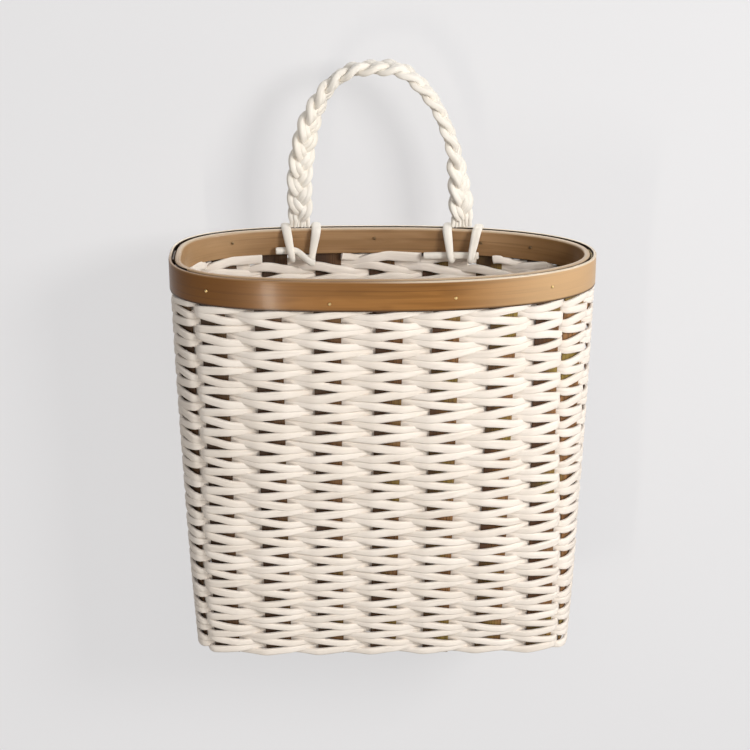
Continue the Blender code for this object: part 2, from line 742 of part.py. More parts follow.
def handle_twist(share):
    """The braid lies flat to the front at its feet and turns its edge to the front at the crown."""
    left_start, left_end = LEFT_TWIST_SHARES
    right_start, right_end = RIGHT_TWIST_SHARES
    left = ease((share - left_start) / (left_end - left_start))
    right = ease((1 - share - right_start) / (right_end - right_start))
    return math.pi / 2 * min(left, right)


def handle_line():
    """The middle line of the handle, and its width and thickness directions at each point."""
    left, right = [back_point(side * foot_arc(), HINGE_DEPTH, BODY_HEIGHT) for side in (-1, 1)]
    route = []
    for across, up in HANDLE_ROUTE_SHARES:
        back = (left[1] + right[1]) / 2 - HANDLE_LEAN * up**2
        route.append((mix(left[0], right[0], (across + 1) / 2), back, HINGE_HEIGHT + up * HANDLE_RISE))
    path = smooth_route(route, HANDLE_STATIONS)
    tangents = np.gradient(path, axis=0)
    tangents /= np.linalg.norm(tangents, axis=1, keepdims=True)
    frames = []
    for i, (centre, tangent) in enumerate(zip(path, tangents)):
        twist = handle_twist(i / (len(path) - 1))
        back = np.array([0.0, 1.0, 0.0])
        back = back - tangent * np.dot(back, tangent)
        back /= np.linalg.norm(back)
        level = np.cross(back, tangent)
        wide = level * math.cos(twist) + back * math.sin(twist)
        frames.append((centre, tangent, wide, np.cross(tangent, wide)))
    return frames


def foot_share(frames, i):
    """0 at either foot, rising to 1 where the braid proper starts, and how far along the braid this is."""
    step = np.linalg.norm(frames[1][0] - frames[0][0])
    last = len(frames) - 1
    free = min(i, last - i) * step
    start = FOOT_RUN * BRAID_START_SHARE
    braided = (i * step - start) / (last * step - 2 * start)
    return ease(free / FOOT_RUN), min(max(braided, 0.0), 1.0)


def strand_path(frames, phase):
    """One of three strands that pass over and under each other, in and out across the braid."""
    path = []
    for i, (centre, _, wide, thick) in enumerate(frames):
        share, braided = foot_share(frames, i)
        angle = 2 * math.pi * BRAID_TURNS * braided + phase
        sideways = BRAID_HALF_WIDTH * math.sin(angle) * mix(FOOT_SQUEEZE_SHARE, 1, share)
        over = BRAID_HALF_THICKNESS * math.sin(2 * angle) * share
        path.append(centre + wide * sideways + thick * over)
    return np.array(path)


def rounded_end(section, centre, beyond, share):
    """A smaller copy of the section, pushed past the end."""
    size = math.sqrt(1 - share**2)
    return [centre + beyond * share + (point - centre) * size for point in section]


def strand_solid(frames, phase):
    path = strand_path(frames, phase)
    tangents = np.gradient(path, axis=0)
    tangents /= np.linalg.norm(tangents, axis=1, keepdims=True)
    angles = [2 * math.pi * (i + 0.5) / CORD_SIDES for i in range(CORD_SIDES)]
    sections = []
    for i, (centre, tangent) in enumerate(zip(path, tangents)):
        half_width = STRAND_HALF_WIDTH * mix(FOOT_STRAND_SHARE, 1, foot_share(frames, i)[0])
        across = np.cross(frames[i][3], tangent)
        across *= half_width / np.linalg.norm(across)
        up = np.cross(tangent, across)
        up *= STRAND_HALF_THICKNESS / np.linalg.norm(up)
        sections.append([centre + across * math.cos(a) + up * math.sin(a) for a in angles])
    starts = [rounded_end(sections[0], path[0], -frames[0][1] * STRAND_HALF_THICKNESS, share)
              for share in reversed(CAP_SHARES)]
    ends = [rounded_end(sections[-1], path[-1], frames[-1][1] * STRAND_HALF_THICKNESS, share)
            for share in CAP_SHARES]
    return facing_out(*sweep(starts + sections + ends))


def make_handle():
    frames = handle_line()
    pivot = frames[0][0] * np.array([0.0, 1.0, 1.0])
    for number in range(3):
        solid = strand_solid(frames, 2 * math.pi * number / 3)
        make_object(f"handle_strand_{number + 1}", *solid, HANDLE_CORD, pivot)
    print("handle hinge at", [round(float(value), 5) for value in pivot])


def main():
    clear_scene()
    wall = woven_wall()
    slats, slots = make_slats()
    for slot in slots:
        cut(wall, slot)
    outer = hoop("outer_hoop", OUTER_HOOP_INSIDE, FACE, OUTER_HOOP_CHAMFER, OUTER_SCARF_TURN)
    inner = hoop("inner_hoop", INNER_HOOP_INSIDE, INNER_HOOP_OUTSIDE, INNER_HOOP_CHAMFER, INNER_SCARF_TURN)
    middle = CROSS_SLATS // 2
    left, right = slats[:middle + 1], slats[middle:CROSS_SLATS]
    pierced = {}
    for side in ("front", "back"):
        pierced[side, True] = [outer, inner, *left]
        pierced[side, False] = [outer, inner, *right]
    make_tacks(pierced)
    make_lashings(wall)
    make_handle()


main()
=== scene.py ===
"""The wall basket dressed: twined paper cord, bamboo hoops and slats, tacks, lashings and a braided handle.

Metres, +Z up, the front towards -Y. Places round the wall are given in turns, as in the part's own source:
0 is the middle of the front, 1 the right end, 2 the middle of the back and 3 the left end. A height is
above the table, and a depth is measured outwards from the middle of the wall.
"""

import functools
import math

import bpy
import numpy as np
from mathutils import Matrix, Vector


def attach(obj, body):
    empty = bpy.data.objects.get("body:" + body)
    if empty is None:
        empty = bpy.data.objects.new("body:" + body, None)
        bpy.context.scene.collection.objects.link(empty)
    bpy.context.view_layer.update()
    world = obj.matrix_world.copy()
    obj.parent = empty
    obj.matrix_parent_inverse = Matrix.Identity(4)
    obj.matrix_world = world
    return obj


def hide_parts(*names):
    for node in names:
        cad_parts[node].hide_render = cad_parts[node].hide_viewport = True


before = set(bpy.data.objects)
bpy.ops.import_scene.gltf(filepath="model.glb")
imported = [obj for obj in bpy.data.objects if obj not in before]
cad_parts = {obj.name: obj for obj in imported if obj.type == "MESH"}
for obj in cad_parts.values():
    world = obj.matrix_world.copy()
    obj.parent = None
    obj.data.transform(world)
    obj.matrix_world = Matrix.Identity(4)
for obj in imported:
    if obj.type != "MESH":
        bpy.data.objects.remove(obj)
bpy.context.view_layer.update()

# The basket's own sizes, the same as in the part's source
RIM_WIDTH = 0.305
RIM_DEPTH = 0.127
BODY_HEIGHT = 0.305
BASE_WIDTH = 0.282
BASE_DEPTH = 0.090
BELLY = 0.002
LEFT_RIM_SQUARENESS = 3.0
RIGHT_RIM_SQUARENESS = 2.15
BASE_SQUARENESS = 7.0
SQUARENESS_FADE = 3
FACE = 0.005
SLAT_WIDTH = 0.019
CROSS_PITCH_BASE = 0.03906
CROSS_PITCH_RIM = 0.03999
LONG_PITCH_BASE = 0.0220
LONG_PITCH_RIM = 0.03023
FRONT_LEAN_SHARES = (-0.02, -0.01, 0.02, 0.10, 0.09, 0.12, -0.05)
BACK_LEAN_SHARES = (0.05, 0.0, 0.0, 0.0, 0.0, 0.0, -0.05)
HOOP_BOTTOM = 0.283
OUTER_HOOP_INSIDE = 0.0028
INNER_HOOP_OUTSIDE = 0.0008
INNER_HOOP_INSIDE = -0.0039
CLEARANCE = 0.0003
OUTLINE_SAMPLES = 240


def mix(first, second, share):
    return first + (second - first) * share


def ease(share):
    share = np.clip(share, 0.0, 1.0)
    return share * share * (3 - 2 * share)


# Places on the wall


@functools.lru_cache(maxsize=None)
def outline_at(height):
    """Turns all round the middle of the wall at a height, their points, and the quarters' lengths."""
    share = min(max(height / HOOP_BOTTOM, 0.0), 1.0)
    swell = BELLY * 4 * share * (1 - share)
    half_width = mix(BASE_WIDTH, RIM_WIDTH, share) / 2 - FACE + swell
    half_depth = mix(BASE_DEPTH, RIM_DEPTH, share) / 2 - FACE + swell
    angles = np.linspace(0, math.pi / 2, OUTLINE_SAMPLES + 1)
    turns, points, lengths = [], [], []
    for quarter in range(4):
        rim = RIGHT_RIM_SQUARENESS if quarter in (0, 1) else LEFT_RIM_SQUARENESS
        squareness = mix(rim, BASE_SQUARENESS, (1 - share) ** SQUARENESS_FADE)
        rising = np.sin(angles) ** (2 / squareness)
        falling = np.abs(np.cos(angles)) ** (2 / squareness)
        falling[-1] = 0
        across = (rising, falling, -rising, -falling)[quarter] * half_width
        along = (-falling, rising, falling, -rising)[quarter] * half_depth
        run = np.concatenate([[0], np.cumsum(np.hypot(np.diff(across), np.diff(along)))])
        turns.append(quarter + run / run[-1])
        points.append(np.column_stack([across, along]))
        lengths.append(run[-1])
    return np.concatenate(turns), np.vstack(points), lengths


def round_wall(turns, height):
    """Flat places on the middle of the wall at a height, and the directions straight out of it there."""
    grid, points, _ = outline_at(round(float(height), 5))

    def at(places):
        return np.column_stack([np.interp(places % 4, grid, points[:, axis]) for axis in (0, 1)])

    turns = np.atleast_1d(np.asarray(turns, float))
    along = at(turns + 0.01) - at(turns - 0.01)
    along /= np.linalg.norm(along, axis=1, keepdims=True)
    return at(turns), np.column_stack([along[:, 1], -along[:, 0]])


def wall_point(turn, height, depth):
    middle, out = round_wall(turn, height)
    flat = middle[0] + out[0] * depth
    return np.array([flat[0], flat[1], height])


def turn_at(landmark, arc, height):
    lengths = outline_at(round(float(height), 5))[2]
    return landmark + arc / lengths[(landmark if arc >= 0 else landmark - 1) % 4]


def back_point(arc, depth, height):
    """A point at the back of the wall, at an arc to the right of its middle as seen from the front."""
    return wall_point(turn_at(2, -arc, height), height, depth)


def stake_turns(height):
    """Turns of the middles of the stakes, once round from the middle of the front."""
    share = min(height / HOOP_BOTTOM, 1.0)
    turns = []
    for landmark in range(4):
        side = 1 if landmark in (0, 1) else -1
        for number in range(-1, 2) if landmark in (1, 3) else range(-3, 4):
            if landmark in (1, 3):
                arc = number * mix(LONG_PITCH_BASE, LONG_PITCH_RIM, share)
            else:
                leans = FRONT_LEAN_SHARES if landmark == 0 else BACK_LEAN_SHARES
                arc = (number + leans[number + 3] * share) * mix(CROSS_PITCH_BASE, CROSS_PITCH_RIM, share)
            turns.append(turn_at(landmark, side * arc, height) % 4)
    return np.array(sorted(turns))


# Shaders


class Field:
    """A value, vector or colour in a shader, which Python's own operators work on."""

    def __init__(self, finish, socket):
        self.finish = finish
        self.socket = socket

    def maths(self, operation, *values):
        return self.finish.node("Math", {"operation": operation}, dict(enumerate(values)))

    def __add__(self, other):
        return self.maths("ADD", self, other)

    def __sub__(self, other):
        return self.maths("SUBTRACT", self, other)

    def __rsub__(self, other):
        return self.maths("SUBTRACT", other, self)

    def __mul__(self, other):
        return self.maths("MULTIPLY", self, other)

    __radd__ = __add__

    def most(self, other):
        return self.maths("MAXIMUM", self, other)

    def stretched(self, scales):
        return self.finish.node("VectorMath", {"operation": "MULTIPLY"}, {0: self, 1: scales})

    def part(self, axis):
        return self.finish.node("SeparateXYZ", {}, {0: self}, "XYZ"[axis])

    def between(self, low, high):
        """0 below the low value, 1 above the high one, and a smooth rise from one to the other."""
        settings = {"interpolation_type": "SMOOTHSTEP"}
        return self.finish.node("MapRange", settings, {"Value": self, "From Min": low, "From Max": high})

    def tint(self, first, second):
        """The first colour where this is 0, and the second where it is 1."""
        settings = {"data_type": "RGBA"}
        return self.finish.node("Mix", settings, {"Factor": self, 6: first, 7: second}, 2)


class Finish:
    """One procedural material, and the nodes that make it."""

    def __init__(self, name, **plain):
        self.material = bpy.data.materials.new(name)
        self.material.use_nodes = True
        self.tree = self.material.node_tree
        self.shader = self.tree.nodes["Principled BSDF"]
        for socket, value in plain.items():
            self.feed(self.shader.inputs[socket.replace("_", " ").title().replace("Ior", "IOR")], value)

    def feed(self, socket, value):
        if isinstance(value, Field):
            self.tree.links.new(value.socket, socket)
        elif socket.type == "RGBA":
            socket.default_value = (*value, 1.0)
        else:
            socket.default_value = value

    def node(self, kind, settings, inputs, output=0):
        made = self.tree.nodes.new("ShaderNode" + kind)
        for name, value in settings.items():
            setattr(made, name, value)
        for name, value in inputs.items():
            self.feed(made.inputs[name], value)
        return Field(self, made.outputs[output])

    def kept(self, name):
        """A vector that the mesh keeps at each of its points."""
        return self.node("Attribute", {"attribute_name": name}, {}, "Vector")

    def place(self):
        return self.node("TexCoord", {}, {}, "Object")

    def noise(self, where, scale, detail, roughness=0.5):
        inputs = {"Vector": where, "Scale": scale, "Detail": detail, "Roughness": roughness}
        return self.node("TexNoise", {}, inputs)

    def relief(self, height, distance):
        inputs = {"Height": height, "Distance": distance, "Strength": 1.0}
        self.feed(self.shader.inputs["Normal"], self.node("Bump", {}, inputs))

    def colour(self, value):
        self.feed(self.shader.inputs["Base Color"], value)

    def roughness(self, value):
        self.feed(self.shader.inputs["Roughness"], value)


def paper_cord(name, pale, warm, crease_shade):
    """Twisted paper: long soft creases along the cord, painted shade in the creases and along its fine
    threads, and a slightly different cream from cord to cord.
    """
    finish = Finish(name, sheen_weight=0.10, sheen_roughness=0.6, specular_ior_level=0.25)
    fibre = finish.kept("fibre")
    folds = finish.noise(fibre.stretched((26.0, 420.0, 420.0)), 1.0, 2.0, 0.55)
    threads = finish.noise(fibre.stretched((90.0, 2300.0, 2300.0)), 1.0, 2.0, 0.6)
    lie = finish.noise(fibre.stretched((17.0, 17.0, 17.0)), 1.0, 1.0)
    cream = lie.between(0.35, 0.65).tint(pale, warm)
    # Painted shade: the creases and the fine thread lines are darkened towards the crease-shade colour.
    shade = folds.between(0.48, 0.30) * 0.30 + threads.between(0.55, 0.3) * 0.12
    finish.colour(shade.tint(cream, crease_shade))
    finish.roughness(0.80 + threads * 0.16)
    finish.relief(folds * 0.85 + threads * 0.15, 0.00034)
    return finish.material


def hoop_bamboo(name, tan, brown, inner):
    """Bent bamboo strip: fine lines along it, edges worn pale, and painted shade in the channel for the
    slats.
    Painted light, shade and a painted highlight also change its colour towards its ends and edges.
    """
    finish = Finish(name, coat_weight=0.26, coat_roughness=0.18, specular_ior_level=0.22)
    lay = finish.kept("fibre")
    lines = finish.noise(lay.stretched((7.0, 900.0, 900.0)), 1.0, 4.0, 0.62)
    bands = finish.noise(lay.stretched((8.0, 150.0, 150.0)), 1.0, 2.0, 0.5)
    patches = finish.noise(lay.stretched((20.0, 70.0, 70.0)), 1.0, 2.0, 0.55)
    place = finish.place()
    across = place.part(0)
    stain_and_shade = (patches.between(0.40, 0.66) * 0.6).most(bands.between(0.52, 0.36) * 0.5)
    # Darker towards the outer band's left end: partly a deeper stain, partly painted shade.
    if not inner:
        stain_and_shade = stain_and_shade.most(across.between(-0.062, -0.112))
    wood = stain_and_shade.tint(tan, brown)
    wood = (lines.between(0.50, 0.30) * 0.42).tint(wood, tuple(value * 0.45 for value in brown))
    height = lay.part(1)
    if inner:
        # Painted light: the inner band is paler towards its left end, which faces the light.
        wood = (across.between(-0.07, -0.12) * 0.35).tint(wood, (0.58, 0.38, 0.20))
        # Painted shade: the inner band is darker towards its right end, which faces away from the light.
        wood = (across.between(0.07, 0.12) * 0.70).tint(wood, (0.15, 0.070, 0.018))
    else:
        # Paler towards the outer band's right end: partly paler wood, partly painted light.
        wood = (across.between(0.035, 0.125) * 0.68).tint(wood, (0.64, 0.43, 0.235))
        # Painted shade: a dark line along the outer band's lower edge, where a shadow falls.
        wood = height.between(HOOP_BOTTOM + 0.0022, HOOP_BOTTOM + 0.0003).tint(wood, (0.045, 0.020, 0.006))
    edge = height.between(BODY_HEIGHT - 0.0014, BODY_HEIGHT - 0.0003)
    worn = (0.42, 0.27, 0.14) if inner else (0.30, 0.17, 0.075)
    wood = (edge * (0.45 + lines * 0.6)).tint(wood, worn)
    # A near-white line on the top edge at the back and the front middle: partly rubbed wear, partly a
    # painted highlight.
    rubbed_and_highlight = place.part(1).between(-0.02, 0.03).most(across.between(-0.03, 0.05) * 0.7)
    wood = (edge * rubbed_and_highlight * (0.35 if inner else 0.95)).tint(wood, (0.86, 0.76, 0.60))
    depth = lay.part(2)
    # Painted shade: the faces in the channel between the two bands are painted near black.
    if inner:
        channel_shade = depth.between(INNER_HOOP_OUTSIDE - 0.0005, INNER_HOOP_OUTSIDE - 0.0001)
    else:
        channel_shade = depth.between(OUTER_HOOP_INSIDE + 0.0004, OUTER_HOOP_INSIDE + 0.0001)
    finish.colour(channel_shade.tint(wood, (0.030, 0.016, 0.008)))
    finish.roughness(0.34 + lines * 0.16)
    finish.relief(lines * 0.7 + bands * 0.5, 0.00022)
    return finish.material


def slat_bamboo(name, scales, number=None):
    """Split bamboo left raw inside the wall: close lines along the slat, with painted shade towards its
    left edge and towards the basket's left end.
    """
    finish = Finish(name, specular_ior_level=0.35)
    place = finish.place()
    lines = finish.noise(place.stretched(scales), 1.0, 4.0, 0.65)
    patches = finish.noise(place, 30.0, 2.0, 0.5)
    olive = finish.noise(place, 24.0, 1.0, 0.5)
    right = place.part(0).between(-0.11, 0.08)
    wood = patches.between(0.38, 0.62).tint((0.31, 0.155, 0.06), (0.18, 0.085, 0.032))
    wood = (olive.between(0.50, 0.64) * (0.25 + right * 0.65)).tint(wood, (0.28, 0.20, 0.045))
    if number is not None:
        share = place.part(2) * (1 / HOOP_BOTTOM)
        spread = number * (CROSS_PITCH_RIM - CROSS_PITCH_BASE)
        lean = FRONT_LEAN_SHARES[number + 3] * CROSS_PITCH_RIM + spread
        aside = place.part(0) - share * lean - number * CROSS_PITCH_BASE
        # Painted shade: each cross slat is darker towards its left edge, where the cords shut out the
        # light.
        wood = (aside.between(0.0050, -0.0075) * 0.85).tint(wood, (0.050, 0.020, 0.009))
    # Painted shade: darker towards the basket's left end, away from the light.
    wood = ((1 - right) * 0.75).tint(wood, (0.040, 0.020, 0.010))
    wood = (lines.between(0.56, 0.36) * 0.7).tint(wood, (0.040, 0.020, 0.009))
    finish.colour(wood)
    finish.roughness(0.46 + lines * 0.2)
    finish.relief(lines, 0.00025)
    return finish.material


def tack_metal(name, dull, bright):
    """Plated metal with fine marks in it."""
    finish = Finish(name, metallic=1.0)
    marks = finish.noise(finish.place(), 1400.0, 3.0)
    finish.colour(marks.tint(dull, bright))
    finish.roughness(0.30 + marks * 0.2)
    return finish.material


def studio_paint(name, colour, shown):
    """Matt paint for the wall and floor. Seen straight on it is also lifted to a pale grey."""
    finish = Finish(name, roughness=0.9, specular_ior_level=0.1)
    tone = finish.noise(finish.place(), 1.4, 1.0)
    finish.colour((tone * 0.5).tint(colour, tuple(value * 0.97 for value in colour)))
    seen = finish.node("LightPath", {}, {}, "Is Camera Ray")
    mirrored = finish.node("LightPath", {}, {}, "Is Glossy Ray")
    finish.feed(finish.shader.inputs["Emission Color"], seen.most(mirrored).tint((0.0, 0.0, 0.0), shown))
    finish.feed(finish.shader.inputs["Emission Strength"], 1.0)
    behind = finish.node("NewGeometry", {}, {}, "Backfacing")
    shadow = finish.node("LightPath", {}, {}, "Is Shadow Ray")
    clear = finish.node("BsdfTransparent", {}, {})
    gone = (behind * seen).most(shadow)
    shader = Field(finish, finish.shader.outputs[0])
    mixed = finish.node("MixShader", {}, {0: gone, 1: shader, 2: clear})
    finish.feed(finish.tree.nodes["Material Output"].inputs["Surface"], mixed)
    return finish.material


# Meshes


class Piece:
    """Strips and cords gathered into one object, with the lie of their grain kept at each point."""

    def __init__(self, name, material, body, slot, stands_for):
        self.name = name
        self.material = material
        self.body = body
        self.slot = slot
        self.stands_for = stands_for
        self.points, self.faces, self.grain = [], [], []
        self.count = 0

    def add(self, sections, grain, ends=True):
        """A tube through like rings of points: an array of ring, point and axis."""
        rings, sides, _ = sections.shape
        numbers = np.arange(rings * sides).reshape(rings, sides) + self.count
        ahead = np.roll(numbers, -1, axis=1)
        quads = np.stack([numbers[:-1], ahead[:-1], ahead[1:], numbers[1:]], axis=-1).reshape(-1, 4)
        self.faces += quads.tolist()
        if ends:
            self.faces += [numbers[0][::-1].tolist(), numbers[-1].tolist()]
        self.points.append(sections.reshape(-1, 3))
        self.grain.append(np.asarray(grain).reshape(-1, 3))
        self.count += rings * sides

    def make(self, sharp):
        points = np.vstack(self.points)
        mesh = bpy.data.meshes.new(self.name)
        mesh.from_pydata(points.tolist(), [], self.faces)
        kept = mesh.attributes.new("fibre", "FLOAT_VECTOR", "POINT")
        kept.data.foreach_set("vector", np.vstack(self.grain).astype(np.float32).ravel())
        mesh.materials.append(self.material)
        mesh.shade_smooth()
        mesh.set_sharp_from_angle(angle=math.radians(sharp))
        made = bpy.data.objects.new(self.name, mesh)
        bpy.context.scene.collection.objects.link(made)
        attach(made, self.body)
        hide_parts(*self.stands_for)


def ring(sides, squareness):
    """Once round a rounded section: how far across and how far up each point is, from -1 to 1."""
    angles = 2 * math.pi * (np.arange(sides) + 0.5) / sides
    across, up = np.cos(angles), np.sin(angles)
    power = 2 / squareness
    return np.sign(across) * np.abs(across) ** power, np.sign(up) * np.abs(up) ** power


def runs_of(path):
    return np.concatenate([[0], np.cumsum(np.linalg.norm(np.diff(path, axis=0), axis=1))])


def cord_sections(path, across, up, half_width, half_thickness, sides, squareness):
    """Rings round a path. Across and up are the directions of the section's width and thickness."""
    wide, thick = ring(sides, squareness)
    half_width = np.broadcast_to(half_width, len(path))
    half_thickness = np.broadcast_to(half_thickness, len(path))
    offset = across[:, None, :] * (half_width[:, None] * wide)[..., None]
    offset = offset + up[:, None, :] * (half_thickness[:, None] * thick)[..., None]
    return path[:, None, :] + offset


def cord_grain(path, sides, radius, number):
    """Where each point lies along and around its cord, each cord in a stretch of its own."""
    angles = 2 * math.pi * (np.arange(sides) + 0.5) / sides
    run = runs_of(path)
    grain = np.empty((len(path), sides, 3))
    grain[..., 0] = run[:, None] + number * 1.37
    grain[..., 1] = radius * np.cos(angles) + number * 0.113
    grain[..., 2] = radius * np.sin(angles) + number * 0.071
    return grain


def blunt_ends(sections, grain, path):
    """Small rounded cuts at both ends of a cord."""
    parts, grains = [sections], [grain]
    for end in (0, -1):
        away = path[end] - path[1 if end == 0 else -2]
        away /= np.linalg.norm(away)
        for size, beyond in ((0.94, 0.0003), (0.78, 0.0005)):
            cut = (path[end] + (sections[end] - path[end]) * size + away * beyond)[None]
            parts = [cut, *parts] if end == 0 else [*parts, cut]
            grains = [grain[:1], *grains] if end == 0 else [*grains, grain[-1:]]
    return np.concatenate(parts), np.concatenate(grains)


def directions(path, sideways, closed=False):
    """Unit tangents, widths and thicknesses along a path, the width kept as near as may be to sideways."""
    tangents = np.gradient(path, axis=0)
    if closed:
        tangents[0] = tangents[-1] = path[1] - path[-2]
    tangents /= np.linalg.norm(tangents, axis=1, keepdims=True)
    sideways = np.broadcast_to(sideways, path.shape)
    across = sideways - tangents * np.sum(sideways * tangents, axis=1, keepdims=True)
    across = across / np.linalg.norm(across, axis=1, keepdims=True)
    return tangents, across, np.cross(tangents, across)


# Twined wall

ROWS = 37
ROW_PITCH = 0.00762
TOP_ROW = 0.2803
ROW_SAGS = (
    (0, 0.0010), (1, 0.0004), (4, 0.0008), (8, 0.0020), (10, 0.0032), (14, 0.0049),
    (18, 0.0050), (24, 0.0060), (30, 0.0045), (36, 0.0006),
)
STAKES = 20
STATIONS = 14
CORD_SIDES = 12
CORD_DEPTH = 0.0030
CORD_HALF_WIDTH = 0.00302
CORD_SPACING = 0.00785
CORD_HALF_THICKNESS = 0.0015
CORD_SQUARENESS = 3.4
CORD_SWAY = 0.00165
SWAY_LEAN = 0.10
ROW_DRIFT = 0.00036
CORD_DRIFT = 0.00030
FATNESS_SPREAD = 0.06
# The least and the most that the spacing of the rows makes of a cord's width
PACKING = (0.84, 1.04)
# Parts of the way from one stake to the next
SLAT_EDGE_SHARES = (0.20, 0.34)
PASSING_SHARE = 0.315
FLAT_REACH = 1.42
SQUEEZE = 0.00045
TUCK_RUN = 0.3
TUCK_RISE = 0.0006
TUCK_FATNESS = 0.10
INSIDE_FATNESS = 0.16
# Where every closed row starts and ends, in stakes: at the middle of the back
FIRST_STAKE = 10
GRAIN_RADIUS = 0.0025
# How much higher the first rows' cords lie on the inside
INSIDE_LIFTS = (0.0030, 0.0022, 0.0014, 0.0006)
ROWS_IN_A_PIECE = 10
# The first row's lengths of cord: which cord, from and to which stake, and whether its start is tucked
TRIMMED_RUNS = (
    (0, 12.27, 30.74, True),
    (0, 11.30, 12.45, False),
    (1, 12.50, 27.90, False),
    (1, 28.40, 29.45, False),
    (1, 29.27, 31.72, True),
)


def row_height(row):
    """The rows lie a little below even spacing, and the last ones are beaten closer together."""
    rows, sags = zip(*ROW_SAGS)
    return TOP_ROW - row * ROW_PITCH - np.interp(row, rows, sags)


class Row:
    """One row of twining: its two cords pass before and behind the stakes by turns, and change places
    between them. The next row slopes the other way."""

    def __init__(self, row, chance):
        self.row = row
        self.height = row_height(row)
        self.slope = 1 if row % 2 == 0 else -1
        stakes = stake_turns(self.height)
        self.stakes = np.concatenate([stakes, stakes + 4])
        middle, _ = round_wall(self.stakes[:STAKES + 1], self.height)
        pitch = np.linalg.norm(np.diff(middle, axis=0), axis=1)
        edge = np.clip(SLAT_WIDTH / 2 / pitch, *SLAT_EDGE_SHARES)
        self.bend = (PASSING_SHARE - edge) / np.sin(2 * math.pi * edge)
        self.drift = chance.normal(0, ROW_DRIFT, STAKES)
        self.own = chance.normal(0, CORD_DRIFT, (2, STAKES))
        packed = (row_height(row - 1) - row_height(row + 1)) / 2 / CORD_SPACING
        self.fat = chance.normal(1, FATNESS_SPREAD, (2, STAKES)) * np.clip(packed, *PACKING)

    def around(self, values, places):
        """Values given once for each stake, evenly blended from stake to stake."""
        return np.interp(places % STAKES, np.arange(STAKES + 1), np.append(values, values[0]))

    def cord(self, piece, number, start, end, tucked=False, closed=False):
        """One cord from a place to a place, counted in stakes. A tucked one starts flat on the inside."""
        count = int(round((end - start) * STATIONS))
        places = np.linspace(start, end, count + 1)
        stake = np.floor(places).astype(int)
        share = places - stake
        turns = mix(self.stakes[stake % STAKES], self.stakes[stake % STAKES + 1], share)
        phase = math.pi * (places + self.bend[stake % STAKES] * np.sin(2 * math.pi * share) + number)
        sway = CORD_SWAY * (np.sin(phase) - SWAY_LEAN * np.sin(2 * phase))
        reach = np.sin(math.pi / 2 * np.clip(FLAT_REACH * np.cos(phase), -1, 1))
        fat = self.around(self.fat[number], places)
        if tucked:
            flat = ease((math.ceil(start) - places) / TUCK_RUN)
            sway = sway * (1 - flat) + TUCK_RISE * flat
            reach = mix(reach, -1.0, flat)
            fat = fat * (1 + TUCK_FATNESS * flat)
        middle, out = round_wall(turns, self.height)
        z = self.height + self.slope * sway + self.around(self.drift, places)
        z = z + self.around(self.own[number], places)
        if self.row < len(INSIDE_LIFTS):
            inwards = np.clip(-reach, 0, 1)
            z = z + INSIDE_LIFTS[self.row] * inwards
            fat = fat * (1 + INSIDE_FATNESS * inwards)
        centre = np.column_stack([middle + out * (CORD_DEPTH * reach)[:, None], z])
        _, across, up = directions(centre, np.array([0.0, 0.0, 1.0]))
        half_width = (CORD_HALF_WIDTH - SQUEEZE * (1 - reach**2) ** 2) * fat
        sections = cord_sections(
            centre, across, up, half_width, CORD_HALF_THICKNESS, CORD_SIDES, CORD_SQUARENESS
        )
        grain = cord_grain(centre, CORD_SIDES, GRAIN_RADIUS, self.row * 2 + number)
        if not closed:
            sections, grain = blunt_ends(sections, grain, centre)
        piece.add(sections, grain, ends=not closed)


def twined_wall(material):
    """All the rows from the top down, ten to a piece. The top row's cords are cut short at the back."""
    chance = np.random.default_rng(11)
    for start in range(0, ROWS, ROWS_IN_A_PIECE):
        number = start // ROWS_IN_A_PIECE + 1
        piece = Piece(f"twined_rows_{number}", material, "basket", "wall_cord", ("woven_wall",))
        for place in range(start, min(start + ROWS_IN_A_PIECE, ROWS)):
            row = Row(place, chance)
            if place == 0:
                for cord, first, last, tucked in TRIMMED_RUNS:
                    row.cord(piece, cord, first, last, tucked)
            else:
                for cord in (0, 1):
                    row.cord(piece, cord, FIRST_STAKE, FIRST_STAKE + STAKES, closed=True)
        piece.make(sharp=80)


# Rim

LAP_TIP = 0.0003
LAP_CRACK = 0.0001
LAP_STATIONS = 30
HOOP_STATIONS = 420
CUT_RADIUS = 0.0001
CORNER_STEPS = 6
# Where a lap starts and how long it is, in turns
OUTER_LAP = (0.80, 0.20)
INNER_LAP = (3.0, 0.208)
# The radii of the upper and lower corners
OUTER_RADII = (0.0009, 0.0004)
INNER_RADII = (0.0019, 0.0006)
INNER_BAND_LIFT = 0.0028


def band_profile(inside, outside, bottom, radii, cut=None):
    """Once round a strip's section, as depths and heights, its corners rounded but not on a cut side."""
    sizes = []
    for radius in radii:
        inner = CUT_RADIUS if cut == "inside" else radius
        outer = CUT_RADIUS if cut == "outside" else radius
        shrink = min(1.0, (outside - inside) * 0.98 / (inner + outer))
        sizes.append((inner * shrink, outer * shrink))
    (upper_in, upper_out), (lower_in, lower_out) = sizes
    corners = (
        (outside - lower_out, bottom + lower_out, lower_out, -90),
        (outside - upper_out, BODY_HEIGHT - upper_out, upper_out, 0),
        (inside + upper_in, BODY_HEIGHT - upper_in, upper_in, 90),
        (inside + lower_in, bottom + lower_in, lower_in, 180),
    )
    profile = []
    for depth, height, radius, start in corners:
        for step in range(CORNER_STEPS):
            angle = math.radians(start + 90 / (CORNER_STEPS - 1) * step)
            profile.append((depth + radius * math.cos(angle), height + radius * math.sin(angle)))
    return profile


